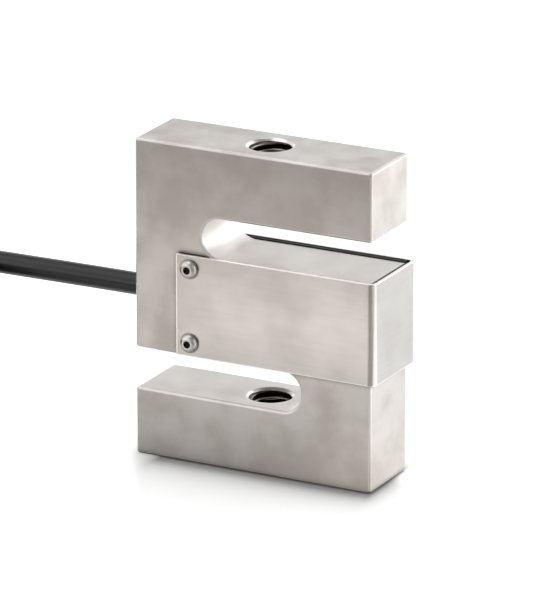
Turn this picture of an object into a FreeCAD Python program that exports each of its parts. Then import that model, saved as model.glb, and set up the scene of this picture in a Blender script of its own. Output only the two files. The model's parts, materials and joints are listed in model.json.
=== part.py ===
import FreeCAD, Part

import math
import os

# S-type load cell: a machined S-shaped block with a gauged middle beam,
# a folded sheet cover over the gauges, and a signal cable.
# Millimetres. +Z runs up the load axis, +X points to the closed end of the
# cover, and the origin is where the load axis meets the bottom face.

Vector = FreeCAD.Vector
UP = Vector(0, 0, 1)
DOWN = Vector(0, 0, -1)
TO_RIGHT = Vector(1, 0, 0)
TO_REAR = Vector(0, 1, 0)

# S-shaped block
block_width = 50.0
block_thickness = 15.0
lower_arm_height = 13.4
upper_arm_height = 13.6
slot_height = 8.0
gauge_beam_height = 20.0
upper_slot_reach = 10.8  # how far left of the load axis the upper slot ends
lower_slot_reach = 10.3  # how far right of the load axis the lower slot ends
corner_chamfer = 0.4
face_chamfer = 0.35

# Load threads, M8, one through each arm
thread_radius = 4.0
thread_countersink = 0.6

# Gauge window through the middle beam: two bores joined by a waist
window_bore_radius = 6.8
window_bore_spacing = 14.4
window_waist_height = 11.0

# Signal cable and its entry in the left face
cable_diameter = 4.4
cable_below_middle = 0.1
entry_bore_radius = 3.2
entry_bore_depth = 9.0
duct_radius = 1.6
bush_length = 5.5
bush_flange_radius = 3.8
bush_flange_thickness = 1.0
clamp_length = 2.6
clamp_clearance = 0.1
cable_end_clearance = 0.2

# Folded cover, and the gaskets that fill its gaps to the middle beam
cover_sheet = 0.6
front_gap = 0.4
rear_gap = 1.0
end_gap = 0.6
cover_lift = 0.3  # cover's lower edge above the middle beam's
cover_rise = 0.3  # cover's upper edge above the middle beam's
cover_reach = 15.7  # how far left of the load axis the cover's open edge lies
cover_inner_bend = 0.9
gasket_margin = 0.15  # how far the gaskets stay inside the cover's edges

# Cover screws, M2 button heads with a hexagon socket
screw_radius = 0.98
screw_length = 5.6
screw_head_radius = 1.8
screw_head_height = 1.2
screw_head_rim = 0.15
screw_head_flat = 1.05
screw_head_bulge = 0.17
socket_flats = 1.3
socket_depth = 0.7
screw_edge_distance = 2.9
screw_end_distance = 2.65
tapped_hole_radius = 1.0
tapped_hole_extra = 0.8
cover_hole_radius = 1.15
gasket_hole_radius = 1.35

# Foil strain gauges on the thin walls of the window bores
gauge_foil = 0.12
gauge_length = 5.2
gauge_width = 6.0
gauge_tab = 0.9
gauge_tab_height = 0.3
gauge_tab_spacing = 2.6

# Terminal board on the floor of the waist, with two trimming resistors
board_length = 5.8
board_width = 11.0
board_thickness = 0.8
pad_radius = 0.5
pad_height = 0.25
pad_pitch = 2.5
pad_row_offset = 1.9
resistor_radius = 0.7
resistor_length = 3.2
resistor_spacing = 4.6
resistor_foot = 0.15

# Silicone that closes the window at each face
potting_depth = 2.0

# Cores of the cable, and how they run from the duct to their solder pads
core_diameter = 0.8
core_bundle_pitch = 1.2
core_duct_run = 3.0
core_drop_x = -7.0
core_drop_share = 0.4
core_pad_approach = 1.7
core_pad_rise = 0.2
core_pad_overlap = 0.4

# Fine wires from the gauges to the board
gauge_wire_diameter = 0.3
gauge_wire_spread = 0.2
gauge_wire_start_run = 1.8
gauge_wire_start_lift = 1.0
gauge_wire_turn_x = 3.6
gauge_wire_arch = 3.4
gauge_wire_landing = (0.5, 1.6)

# Cable put away as a tied hank on the left of the block
hank_length = 100.0
hank_columns = 2
hank_layers = 7
hank_right_x = -66.0
hank_middle_y = -14.0
fold_radius = 13.4  # centre line of the innermost turn
hank_edge_round = 2.0
lead_gap_degrees = 60.0
tie_thickness = 1.0
tie_width = 3.0
tie_head = (4.6, 4.2, 3.4)
tie_head_round = 0.5
rear_tie_x = -112.0
front_tie_x = -141.5

# Stripped end of the cable, lying on the hank's front run
sleeve_radius = 2.4
sleeve_length = 12.0
sleeve_start_x = -136.0
sleeve_rim_round = 0.6
notch_clearance = 0.1
core_reach = 30.0
core_straight = 5.0
core_fan_pitch = 1.0
core_fan_rise = 0.15
core_fan_stagger = 3.0
core_seat = 0.05
bare_tip_length = 6.0
bare_tip_radius = 0.3

# Share of a straight run that each bend of a round wire or cable takes up
bend_share = 0.45

# How near two lengths must be to count as equal
tolerance = 0.001

# Sizes that follow from the ones above
half_width = block_width / 2
half_thickness = block_thickness / 2
slot_radius = slot_height / 2
beam_bottom_z = lower_arm_height + slot_height
beam_top_z = beam_bottom_z + gauge_beam_height
middle_z = beam_bottom_z + gauge_beam_height / 2
upper_arm_z = beam_top_z + slot_height
block_height = upper_arm_z + upper_arm_height
window_half_spacing = window_bore_spacing / 2
waist_floor_z = middle_z - window_waist_height / 2
board_top_z = waist_floor_z + board_thickness
cable_radius = cable_diameter / 2
cable_z = middle_z - cable_below_middle
core_radius = core_diameter / 2
front_leaf_y = -(half_thickness + front_gap)
rear_leaf_y = half_thickness + rear_gap
web_x = half_width + end_gap
cover_bottom_z = beam_bottom_z + cover_lift
cover_top_z = beam_top_z + cover_rise
screw_x = screw_edge_distance - cover_reach
hank_half_breadth = fold_radius + (hank_columns - 0.5) * cable_diameter
hank_inner_half = fold_radius - cable_radius
hank_top_z = tie_thickness + hank_layers * cable_diameter
bundle_breadth = hank_columns * cable_diameter
top_turn_z = hank_top_z - cable_radius
right_fold_x = hank_right_x - hank_half_breadth
left_fold_x = hank_right_x - hank_length + hank_half_breadth
lead_y = hank_middle_y + hank_half_breadth - cable_radius
end_run_y = hank_middle_y - fold_radius

# Route of the cable from its inner end to the hank, chosen by hand
cable_route = [
    Vector(-half_width + entry_bore_depth - cable_end_clearance, 0, cable_z),
    Vector(-35.5, 0, cable_z),
    Vector(-57.0, 0.6, 30.9),
    Vector(-74.0, lead_y, top_turn_z),
    Vector(right_fold_x, lead_y, top_turn_z),
]


def box(low, high):
    size = high - low
    return Part.makeBox(size.x, size.y, size.z, low)


def cylinder(radius, start, end):
    run = end - start
    return Part.makeCylinder(radius, run.Length, start, run)


def ring(outer, inner, start, end):
    return cylinder(outer, start, end).cut(cylinder(inner, start, end))


def face_of(edges):
    return Part.Face(Part.Wire(edges))


def polygon(points):
    return Part.Face(Part.makePolygon(points + points[:1]))


def line(start, end):
    return Part.LineSegment(start, end).toShape()


def arc(start, middle, end):
    return Part.Arc(start, middle, end).toShape()


def rounded_path(points):
    """Straight runs joined by tangent arcs, and the arcs' radii."""
    edges = []
    radii = []
    here = points[0]
    for before, corner, after in zip(points, points[1:], points[2:]):
        back = before - corner
        ahead = after - corner
        turn = math.pi - back.getAngle(ahead)
        reach = bend_share * min(back.Length, ahead.Length)
        radius = reach / math.tan(turn / 2)
        back.normalize()
        ahead.normalize()
        inward = back + ahead
        inward.normalize()
        start = corner + back * reach
        end = corner + ahead * reach
        to_centre = math.hypot(reach, radius)
        edges.append(line(here, start))
        edges.append(arc(start, corner + inward * (to_centre - radius), end))
        radii.append(radius)
        here = end
    edges.append(line(here, points[-1]))
    return Part.Wire(edges), radii


def tube(points, radius):
    """A round solid along the rounded path through the points."""
    path, radii = rounded_path(points)
    section = Part.Wire(Part.makeCircle(radius, points[0], points[1] - points[0]))
    solid = path.makePipeShell([section], True, False)
    return Part.Solid(solid), path.Length, radii


def corner_edges(solid):
    """Straight edges that run the full thickness, at the block's square corners."""
    found = []
    for edge in solid.Edges:
        ends = [vertex.Point for vertex in edge.Vertexes]
        if len(ends) != 2 or abs(abs(ends[0].y - ends[1].y) - block_thickness) > tolerance:
            continue
        if abs(abs(ends[0].x) - half_width) < tolerance:
            found.append(edge)
    return found


def face_edges(solid):
    """Edges that lie in the front or the rear face."""
    found = []
    for edge in solid.Edges:
        limits = edge.BoundBox
        flat = limits.YLength < tolerance
        if flat and abs(abs(limits.Center.y) - half_thickness) < tolerance:
            found.append(edge)
    return found


def s_profile():
    """The block's outline in the front face."""
    y = -half_thickness
    left = -half_width
    right = half_width
    upper_end = slot_radius - upper_slot_reach
    lower_end = lower_slot_reach - slot_radius
    upper_slot_z = beam_top_z + slot_radius
    lower_slot_z = lower_arm_height + slot_radius

    def at(x, z):
        return Vector(x, y, z)

    return face_of([
        line(at(left, 0), at(right, 0)),
        line(at(right, 0), at(right, beam_top_z)),
        line(at(right, beam_top_z), at(upper_end, beam_top_z)),
        arc(
            at(upper_end, beam_top_z),
            at(-upper_slot_reach, upper_slot_z),
            at(upper_end, upper_arm_z),
        ),
        line(at(upper_end, upper_arm_z), at(right, upper_arm_z)),
        line(at(right, upper_arm_z), at(right, block_height)),
        line(at(right, block_height), at(left, block_height)),
        line(at(left, block_height), at(left, beam_bottom_z)),
        line(at(left, beam_bottom_z), at(lower_end, beam_bottom_z)),
        arc(
            at(lower_end, beam_bottom_z),
            at(lower_slot_reach, lower_slot_z),
            at(lower_end, lower_arm_height),
        ),
        line(at(lower_end, lower_arm_height), at(left, lower_arm_height)),
        line(at(left, lower_arm_height), at(left, 0)),
    ])


def countersink(z, direction):
    """A cone that opens the thread's mouth at height z, towards direction."""
    mouth = thread_radius + thread_countersink
    return Part.makeCone(
        mouth, thread_radius, thread_countersink, Vector(0, 0, z), direction * -1
    )


def threaded_bore(bottom, top):
    bore = cylinder(thread_radius, Vector(0, 0, bottom), Vector(0, 0, top))
    return bore.fuse([countersink(top, UP), countersink(bottom, DOWN)])


def window_prism(front, rear):
    """The window's outline, from y = front to y = rear."""
    parts = []
    for x in (-window_half_spacing, window_half_spacing):
        parts.append(cylinder(window_bore_radius, Vector(x, front, middle_z), Vector(x, rear, middle_z)))
    waist = box(
        Vector(-window_half_spacing, front, waist_floor_z),
        Vector(window_half_spacing, rear, middle_z + window_waist_height / 2),
    )
    return waist.fuse(parts).removeSplitter()


def leaf_outer_y(side):
    """Outer face of the cover's front leaf (side -1) or rear leaf (side 1)."""
    return front_leaf_y - cover_sheet if side < 0 else rear_leaf_y + cover_sheet


def screw_heights():
    return {
        "upper": cover_top_z - screw_end_distance,
        "lower": cover_bottom_z + screw_end_distance,
    }


def s_beam_body():
    body = s_profile().extrude(TO_REAR * block_thickness)
    body = body.makeChamfer(corner_chamfer, corner_edges(body))
    body = body.makeChamfer(face_chamfer, face_edges(body))
    cuts = [
        threaded_bore(0, lower_arm_height),
        threaded_bore(upper_arm_z, block_height),
        window_prism(-half_thickness, half_thickness),
    ]
    mouth = Vector(-half_width, 0, cable_z)
    bottom = mouth + TO_RIGHT * entry_bore_depth
    cuts.append(cylinder(entry_bore_radius, mouth, bottom))
    cuts.append(cylinder(duct_radius, mouth, Vector(-window_half_spacing, 0, cable_z)))
    for side in (-1, 1):
        end_y = leaf_outer_y(side) - side * (screw_length + tapped_hole_extra)
        for z in screw_heights().values():
            start = Vector(screw_x, side * half_thickness, z)
            cuts.append(cylinder(tapped_hole_radius, start, Vector(screw_x, end_y, z)))
    return body.cut(cuts)


def u_cover():
    """Front leaf, end web and rear leaf folded from one sheet."""
    edge_x = -cover_reach
    outer_x = web_x + cover_sheet
    outer_bend = cover_inner_bend + cover_sheet
    bend_x = outer_x - outer_bend
    diagonal = math.sqrt(0.5)

    def at(x, y):
        return Vector(x, y, cover_bottom_z)

    def bend_y(side):
        return leaf_outer_y(side) - side * outer_bend

    def bend(radius, side, towards):
        ends = [
            at(bend_x, bend_y(side) + side * radius),
            at(bend_x + radius * diagonal, bend_y(side) + side * radius * diagonal),
            at(bend_x + radius, bend_y(side)),
        ]
        return arc(*ends[::towards])

    front_y = leaf_outer_y(-1)
    rear_y = leaf_outer_y(1)
    plan = face_of([
        line(at(edge_x, front_y), at(bend_x, front_y)),
        bend(outer_bend, -1, 1),
        line(at(outer_x, bend_y(-1)), at(outer_x, bend_y(1))),
        bend(outer_bend, 1, -1),
        line(at(bend_x, rear_y), at(edge_x, rear_y)),
        line(at(edge_x, rear_y), at(edge_x, rear_leaf_y)),
        line(at(edge_x, rear_leaf_y), at(bend_x, rear_leaf_y)),
        bend(cover_inner_bend, 1, 1),
        line(at(web_x, bend_y(1)), at(web_x, bend_y(-1))),
        bend(cover_inner_bend, -1, -1),
        line(at(bend_x, front_leaf_y), at(edge_x, front_leaf_y)),
        line(at(edge_x, front_leaf_y), at(edge_x, front_y)),
    ])
    cover = plan.extrude(UP * (cover_top_z - cover_bottom_z))
    for z in screw_heights().values():
        across = cylinder(cover_hole_radius, Vector(screw_x, front_y, z), Vector(screw_x, rear_y, z))
        cover = cover.cut(across)
    return cover


def gasket_sheet(low_x, high_x, low_y, high_y):
    return box(
        Vector(low_x, low_y, cover_bottom_z + gasket_margin),
        Vector(high_x, high_y, cover_top_z - gasket_margin),
    )


def leaf_gasket(side):
    """Sealing sheet between a face of the beam and the cover's leaf."""
    low_y, high_y = sorted((side * half_thickness, front_leaf_y if side < 0 else rear_leaf_y))
    high_x = min(half_width - gasket_margin, web_x - cover_inner_bend)
    sheet = gasket_sheet(gasket_margin - cover_reach, high_x, low_y, high_y)
    for z in screw_heights().values():
        hole = cylinder(gasket_hole_radius, Vector(screw_x, low_y, z), Vector(screw_x, high_y, z))
        sheet = sheet.cut(hole)
    return sheet


def end_gasket():
    """Sealing strip between the beam's right face and the cover's web."""
    reach = half_thickness - corner_chamfer
    low_y = max(-reach, front_leaf_y + cover_inner_bend)
    high_y = min(reach, rear_leaf_y - cover_inner_bend)
    return gasket_sheet(half_width, web_x, low_y, high_y)


def hexagon_socket():
    """Hexagon prism with a drilled point, opening along +Z at z = 0."""
    corner = socket_flats / math.sqrt(3)
    points = []
    for index in range(6):
        angle = math.radians(60 * index)
        points.append(Vector(corner * math.cos(angle), corner * math.sin(angle), -socket_depth))
    prism = polygon(points).extrude(UP * socket_depth)
    point_depth = socket_flats / 4
    tip = Vector(0, 0, -socket_depth - point_depth)
    point = Part.makeCone(0, socket_flats / 2, point_depth, tip)
    return prism.fuse(point)


def screw(side, z):
    """Button-head screw seated on the cover, its shank in the tapped hole."""
    top = screw_head_height
    crown = Vector(
        (screw_head_radius + screw_head_flat) / 2 + screw_head_bulge,
        0,
        (screw_head_rim + top) / 2 + screw_head_bulge,
    )
    outline = face_of([
        line(Vector(0, 0, -screw_length), Vector(screw_radius, 0, -screw_length)),
        line(Vector(screw_radius, 0, -screw_length), Vector(screw_radius, 0, 0)),
        line(Vector(screw_radius, 0, 0), Vector(screw_head_radius, 0, 0)),
        line(Vector(screw_head_radius, 0, 0), Vector(screw_head_radius, 0, screw_head_rim)),
        arc(Vector(screw_head_radius, 0, screw_head_rim), crown, Vector(screw_head_flat, 0, top)),
        line(Vector(screw_head_flat, 0, top), Vector(0, 0, top)),
        line(Vector(0, 0, top), Vector(0, 0, -screw_length)),
    ])
    solid = outline.revolve(Vector(0, 0, 0), UP, 360)
    socket = hexagon_socket()
    socket.translate(Vector(0, 0, top))
    solid = solid.cut(socket)
    solid.rotate(Vector(0, 0, 0), TO_RIGHT, -90 * side)
    solid.translate(Vector(screw_x, leaf_outer_y(side), z))
    return solid


def strain_gauge(side_x, side_z):
    """Foil gauge bonded round the bore's thin wall, with two solder tabs."""
    x = side_x * window_half_spacing
    front = Vector(x, -gauge_width / 2, middle_z)
    rear = Vector(x, gauge_width / 2, middle_z)
    foil = ring(window_bore_radius, window_bore_radius - gauge_foil, front, rear)
    crest = middle_z + side_z * window_bore_radius
    patch = box(
        Vector(x - gauge_length / 2, -gauge_width / 2, min(crest, middle_z)),
        Vector(x + gauge_length / 2, gauge_width / 2, max(crest, middle_z)),
    )
    foil = foil.common(patch)
    inner = window_bore_radius - gauge_foil
    tabs = []
    for y in (-gauge_tab_spacing / 2, gauge_tab_spacing / 2):
        reach = math.sqrt(inner ** 2 - (gauge_tab / 2) ** 2)
        near = middle_z + side_z * (reach - gauge_tab_height)
        far = middle_z + side_z * (inner + gauge_foil / 2)
        tabs.append(box(
            Vector(x - gauge_tab / 2, y - gauge_tab / 2, min(near, far)),
            Vector(x + gauge_tab / 2, y + gauge_tab / 2, max(near, far)),
        ))
    return foil.fuse(tabs)


def pad_places():
    """Centres of the solder pads: four cable pads on the left, four on the right."""
    rows = {}
    for name, x in (("cable", -pad_row_offset), ("gauge", pad_row_offset)):
        rows[name] = [Vector(x, pad_pitch * (index - 1.5), board_top_z) for index in range(4)]
    return rows


def terminal_board():
    board = box(
        Vector(-board_length / 2, -board_width / 2, waist_floor_z),
        Vector(board_length / 2, board_width / 2, board_top_z),
    )
    pads = []
    for row in pad_places().values():
        for place in row:
            pads.append(cylinder(pad_radius, place, place + UP * pad_height))
    return board.fuse(pads)


def resistor(side):
    """Small barrel resistor lying across the board between the pad rows."""
    y = side * resistor_spacing / 2
    z = board_top_z + resistor_foot + resistor_radius
    half = resistor_length / 2 - resistor_radius
    barrel = cylinder(resistor_radius, Vector(0, y - half, z), Vector(0, y + half, z))
    feet = []
    for end in (-half, half):
        low = Vector(-resistor_foot, y + end - resistor_foot, board_top_z)
        high = Vector(resistor_foot, y + end + resistor_foot, z)
        feet.append(box(low, high))
    return barrel.fuse(feet)


def potting(side):
    inner = half_thickness - potting_depth
    if side < 0:
        return window_prism(-half_thickness, -inner)
    return window_prism(inner, half_thickness)


def cable_bush():
    """Rubber bush in the entry bore, with a thin flange on the left face."""
    face = Vector(-half_width, 0, cable_z)
    inner_end = face + TO_RIGHT * bush_length
    outer_end = face - TO_RIGHT * bush_flange_thickness
    barrel = cylinder(entry_bore_radius, face, inner_end)
    flange = cylinder(bush_flange_radius, outer_end, face)
    return flange.fuse(barrel).cut(cylinder(cable_radius, outer_end, inner_end))


def cable_clamp():
    """Crimped ring that stops the cable being pulled out."""
    start = Vector(-half_width + bush_length + clamp_clearance, 0, cable_z)
    end = start + TO_RIGHT * clamp_length
    return ring(entry_bore_radius - clamp_clearance, cable_radius, start, end)


def core_places():
    """Offsets of the four cores in the cable's section, from front to rear."""
    step = core_bundle_pitch / 2
    return {
        "red": (-step, step),
        "green": (-step, -step),
        "white": (step, -step),
        "black": (step, step),
    }


def inner_core(index, offset):
    """One core from the cable's inner end through the duct to its solder pad."""
    pad = pad_places()["cable"][index]
    start = cable_route[0] + Vector(0, offset[0], offset[1])
    landing = pad + UP * (pad_height + core_radius)
    points = [
        start,
        start + TO_RIGHT * (core_duct_run + cable_end_clearance),
        Vector(core_drop_x, (start.y + 2 * pad.y) / 3, start.z + core_drop_share * (landing.z - start.z)),
        landing + Vector(-core_pad_approach, 0, core_pad_rise),
        landing + TO_RIGHT * core_pad_overlap,
    ]
    return tube(points, core_radius)[0]


def gauge_wires():
    """Two fine wires from each gauge's tabs to the board's right-hand pads."""
    wires = []
    radius = gauge_wire_diameter / 2
    pads = pad_places()["gauge"]
    inner = window_bore_radius - gauge_foil - gauge_tab_height - radius
    landing_run, landing_rise = gauge_wire_landing
    for side_x in (-1, 1):
        for side_z in (-1, 1):
            pad = pads[2 * (side_x > 0) + (side_z > 0)]
            for side_y in (-1, 1):
                y = side_y * gauge_tab_spacing / 2
                spread = side_y * gauge_wire_spread
                start = Vector(side_x * window_half_spacing, y, middle_z + side_z * inner)
                end = pad + Vector(spread, spread, pad_height + radius)
                arch = gauge_wire_arch + side_z * gauge_wire_start_lift / 2
                points = [
                    start,
                    start + Vector(-side_x * gauge_wire_start_run, spread, -side_z * gauge_wire_start_lift),
                    Vector(side_x * gauge_wire_turn_x + spread, (y + pad.y) / 2, end.z + arch),
                    end + Vector(side_x * landing_run, 0, landing_rise),
                    end,
                ]
                wires.append(tube(points, radius)[0])
    return Part.makeCompound(wires)


def cable_lead():
    """The cable from its inner end to the hank."""
    solid, length, radii = tube(cable_route, cable_radius)
    exact = math.pi * cable_radius ** 2 * length
    print("cable lead: %.1f mm long, volume %.1f, section times length %.1f" % (length, solid.Volume, exact))
    print("cable lead: arc radii", [round(radius, 1) for radius in radii])
    return solid


def stadium(half_breadth, low, high):
    """Upright prism whose plan is two half circles joined by straight runs."""
    prism = box(
        Vector(left_fold_x, hank_middle_y - half_breadth, low),
        Vector(right_fold_x, hank_middle_y + half_breadth, high),
    )
    ends = []
    for x in (left_fold_x, right_fold_x):
        ends.append(cylinder(half_breadth, Vector(x, hank_middle_y, low), Vector(x, hank_middle_y, high)))
    return prism.fuse(ends).removeSplitter()


def cable_hank():
    """Outer shape of the wound cable, with a step for the lead and a notch for the end."""
    hank = stadium(hank_half_breadth, tie_thickness, hank_top_z)
    hank = hank.cut(stadium(hank_inner_half, tie_thickness, hank_top_z))
    rims = []
    for edge in hank.Edges:
        if edge.BoundBox.ZLength < tolerance:
            rims.append(edge)
    hank = hank.makeFillet(hank_edge_round, rims)
    centre = Vector(right_fold_x, hank_middle_y, hank_top_z - cable_diameter)
    above = centre + UP * 2 * cable_diameter
    step = Part.makeCylinder(2 * hank_half_breadth, 2 * cable_diameter, centre, UP, lead_gap_degrees)
    step.rotate(centre, UP, 90 - lead_gap_degrees)
    step = step.cut(cylinder(hank_half_breadth - cable_diameter, centre, above))
    reach = sleeve_radius + notch_clearance
    notch = box(
        Vector(sleeve_start_x, end_run_y - reach, top_turn_z - reach),
        Vector(right_fold_x, hank_middle_y, hank_top_z + cable_diameter),
    )
    return hank.cut([step, notch])


def hank_tie(x, side):
    """Cable tie round one run of the hank, its head on top."""
    near = hank_middle_y + side * hank_inner_half
    far = near + side * bundle_breadth
    low_y = min(near, far)
    high_y = max(near, far)

    def loop(grow, half_length):
        frame = box(
            Vector(x - half_length, low_y - grow, tie_thickness - grow),
            Vector(x + half_length, high_y + grow, hank_top_z + grow),
        )
        along = [edge for edge in frame.Edges if edge.BoundBox.XLength > half_length]
        return frame.makeFillet(hank_edge_round + grow, along)

    strap = loop(tie_thickness, tie_width / 2).cut(loop(0, tie_width))
    size_x, size_y, size_z = tie_head
    middle_y = (low_y + high_y) / 2
    base_z = hank_top_z + tie_thickness / 2
    head = box(
        Vector(x - size_x / 2, middle_y - size_y / 2, base_z),
        Vector(x + size_x / 2, middle_y + size_y / 2, base_z + size_z),
    )
    upper = [edge for edge in head.Edges if edge.BoundBox.ZMin > base_z + size_z / 2]
    return strap.fuse(head.makeFillet(tie_head_round, upper))


def cable_end_sleeve():
    """Heat-shrink sleeve over the end of the cable's jacket."""
    start = Vector(sleeve_start_x, end_run_y, top_turn_z)
    sleeve = cylinder(sleeve_radius, start, start + TO_RIGHT * sleeve_length)
    far_rim = [edge for edge in sleeve.Edges if edge.BoundBox.XMin > start.x + sleeve_length / 2]
    return sleeve.makeFillet(sleeve_rim_round, far_rim)


def flying_points(offset, lane):
    """Route of one stripped core from the sleeve to its lane on the turn below."""
    start_x = sleeve_start_x + sleeve_length
    seat_z = hank_top_z - cable_diameter + core_radius + core_seat
    lane_y = end_run_y + core_fan_pitch * (lane - 2)
    first = Vector(start_x, end_run_y + offset[0], top_turn_z + offset[1])
    return [
        first,
        first + TO_RIGHT * core_straight,
        Vector(start_x + core_reach / 2 + core_fan_stagger * offset[1], lane_y, seat_z + core_fan_rise),
        Vector(start_x + core_reach - bare_tip_length, lane_y, seat_z),
    ]


def flying_core(offset, lane):
    return tube(flying_points(offset, lane), core_radius)[0]


def bare_tips(lanes):
    """Tinned copper ends of the stripped cores, one solid for each."""
    tips = []
    for offset, lane in lanes:
        before, end = flying_points(offset, lane)[-2:]
        ahead = end - before
        ahead.normalize()
        tips.append(cylinder(bare_tip_radius, end, end + ahead * bare_tip_length))
    return Part.makeCompound(tips)


def all_nodes():
    nodes = {"s_beam_body": s_beam_body(), "u_cover": u_cover()}
    for face, side in (("front", -1), ("rear", 1)):
        for level, z in screw_heights().items():
            nodes["cover_screw_%s_%s" % (face, level)] = screw(side, z)
        nodes[face + "_gasket"] = leaf_gasket(side)
        nodes[face + "_potting"] = potting(side)
    nodes["end_gasket"] = end_gasket()
    for across, side_x in (("left", -1), ("right", 1)):
        for level, side_z in (("upper", 1), ("lower", -1)):
            nodes["strain_gauge_%s_%s" % (across, level)] = strain_gauge(side_x, side_z)
    nodes["terminal_board"] = terminal_board()
    nodes["span_resistor"] = resistor(-1)
    nodes["zero_resistor"] = resistor(1)
    nodes["gauge_wires"] = gauge_wires()
    nodes["cable_bush"] = cable_bush()
    nodes["cable_clamp_ring"] = cable_clamp()
    nodes["cable_lead"] = cable_lead()
    nodes["cable_hank"] = cable_hank()
    nodes["hank_tie_rear"] = hank_tie(rear_tie_x, 1)
    nodes["hank_tie_front"] = hank_tie(front_tie_x, -1)
    nodes["cable_end_sleeve"] = cable_end_sleeve()
    tips = []
    drain_lane = 2
    for index, (colour, offset) in enumerate(core_places().items()):
        lane = index if index < drain_lane else index + 1
        nodes["inner_core_" + colour] = inner_core(index, offset)
        nodes["end_core_" + colour] = flying_core(offset, lane)
        tips.append((offset, lane))
    nodes["shield_drain"] = flying_core((0, 0), drain_lane)
    nodes["core_tips"] = bare_tips(tips)
    return nodes


def main():
    os.makedirs("parts", exist_ok=True)
    for name, shape in all_nodes().items():
        shape.exportStep("parts/%s.step" % name)
        print("%-28s solids %d  volume %.2f" % (name, len(shape.Solids), shape.Volume))


main()
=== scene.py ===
import json
import math

import bpy
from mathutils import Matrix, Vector


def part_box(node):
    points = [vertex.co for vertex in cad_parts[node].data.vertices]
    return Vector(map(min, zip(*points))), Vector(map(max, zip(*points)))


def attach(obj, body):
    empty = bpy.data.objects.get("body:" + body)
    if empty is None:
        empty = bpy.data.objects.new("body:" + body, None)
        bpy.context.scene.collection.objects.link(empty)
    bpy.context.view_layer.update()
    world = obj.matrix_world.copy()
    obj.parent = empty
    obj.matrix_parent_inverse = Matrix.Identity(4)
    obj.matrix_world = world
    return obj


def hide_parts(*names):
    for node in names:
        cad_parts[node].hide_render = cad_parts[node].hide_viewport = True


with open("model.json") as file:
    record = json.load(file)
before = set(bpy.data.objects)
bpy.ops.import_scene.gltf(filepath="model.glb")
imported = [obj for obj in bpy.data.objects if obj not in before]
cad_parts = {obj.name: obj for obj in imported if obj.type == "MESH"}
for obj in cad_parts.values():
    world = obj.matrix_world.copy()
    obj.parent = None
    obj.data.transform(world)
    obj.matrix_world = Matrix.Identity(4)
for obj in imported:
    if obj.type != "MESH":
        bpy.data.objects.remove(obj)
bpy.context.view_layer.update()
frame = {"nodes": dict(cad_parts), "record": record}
nodes = frame["nodes"]
print("frame loaded:", len(nodes), "CAD nodes")

mm = 0.001
noiseSpots = (0.3, 0.7)  # where in a noise pattern its dark and its light spots are full


def linear(hexColour):
    channels = []
    for start in (1, 3, 5):
        value = int(hexColour[start:start + 2], 16) / 255
        channels.append(value / 12.92 if value <= 0.04045 else ((value + 0.055) / 1.055) ** 2.4)
    return (*channels, 1)


def addNode(tree, kind, inputs=None, **settings):
    node = tree.nodes.new(kind)
    for name, value in settings.items():
        setattr(node, name, value)
    for key, value in (inputs or {}).items():
        if isinstance(value, bpy.types.NodeSocket):
            tree.links.new(value, node.inputs[key])
        else:
            node.inputs[key].default_value = value
    return node


def newMaterial(name):
    material = bpy.data.materials.new(name)
    material.use_nodes = True
    tree = material.node_tree
    tree.nodes.clear()
    shader = addNode(tree, "ShaderNodeBsdfPrincipled")
    addNode(tree, "ShaderNodeOutputMaterial", {"Surface": shader.outputs["BSDF"]})
    return material, tree, shader


def setMaterial(piece, material):
    piece.data.materials.clear()
    piece.data.materials.append(material)


def calculate(tree, operation, *values):
    return addNode(tree, "ShaderNodeMath", dict(enumerate(values)), operation=operation).outputs[0]


# A smooth change from low to high while the value goes from start to end
def ramp(tree, value, start, end, low=0.0, high=1.0):
    return addNode(tree, "ShaderNodeMapRange", {
        "Value": value, 1: start, 2: end, 3: low, 4: high,
    }, interpolation_type="SMOOTHSTEP").outputs[0]


def between(tree, share, first, second):
    return addNode(tree, "ShaderNodeMix", {0: share, 2: first, 3: second}).outputs[0]


def length(tree, first, second):
    squares = [calculate(tree, "POWER", side, 2) for side in (first, second)]
    return calculate(tree, "SQRT", calculate(tree, "ADD", *squares))


def stripes(tree, along, spacing):
    return calculate(tree, "SINE", calculate(tree, "MULTIPLY", along, math.tau / (spacing * mm)))


def blend(tree, share, first, second):
    return addNode(tree, "ShaderNodeMix", {0: share, 6: first, 7: second}, data_type="RGBA").outputs[2]


def coordinates(tree):
    place = addNode(tree, "ShaderNodeTexCoord").outputs["Object"]
    return addNode(tree, "ShaderNodeSeparateXYZ", {0: place}).outputs


# A noise pattern with spots of a given size in mm, stretched along the axes
def noise(tree, size, detail=3.0, stretch=(1, 1, 1)):
    place = addNode(tree, "ShaderNodeTexCoord").outputs["Object"]
    scale = [1 / (size * mm * part) for part in stretch]
    stretched = addNode(tree, "ShaderNodeMapping", {"Vector": place, "Scale": scale}).outputs["Vector"]
    inputs = {"Vector": stretched, "Scale": 1.0, "Detail": detail}
    return addNode(tree, "ShaderNodeTexNoise", inputs).outputs["Fac"]


def bump(tree, height, depth, normal=None):
    inputs = {"Height": height, "Distance": depth * mm, "Strength": 1.0}
    if normal:
        inputs["Normal"] = normal
    return addNode(tree, "ShaderNodeBump", inputs).outputs["Normal"]


# How far a point lies in a corner or a narrow gap, for painted shade there: 0 in the open, 1 deep inside
def creviceShade(tree, reach):
    openness = addNode(tree, "ShaderNodeAmbientOcclusion", {"Distance": reach * mm}, samples=6).outputs["AO"]
    return ramp(tree, openness, 0.95, 0.45)


# A roughness that follows a noise pattern's spots, a little less to a little more
def uneven(tree, pattern, roughness, spread=(-0.04, 0.05)):
    less, more = spread
    return ramp(tree, pattern, *noiseSpots, roughness + less, roughness + more)


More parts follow.
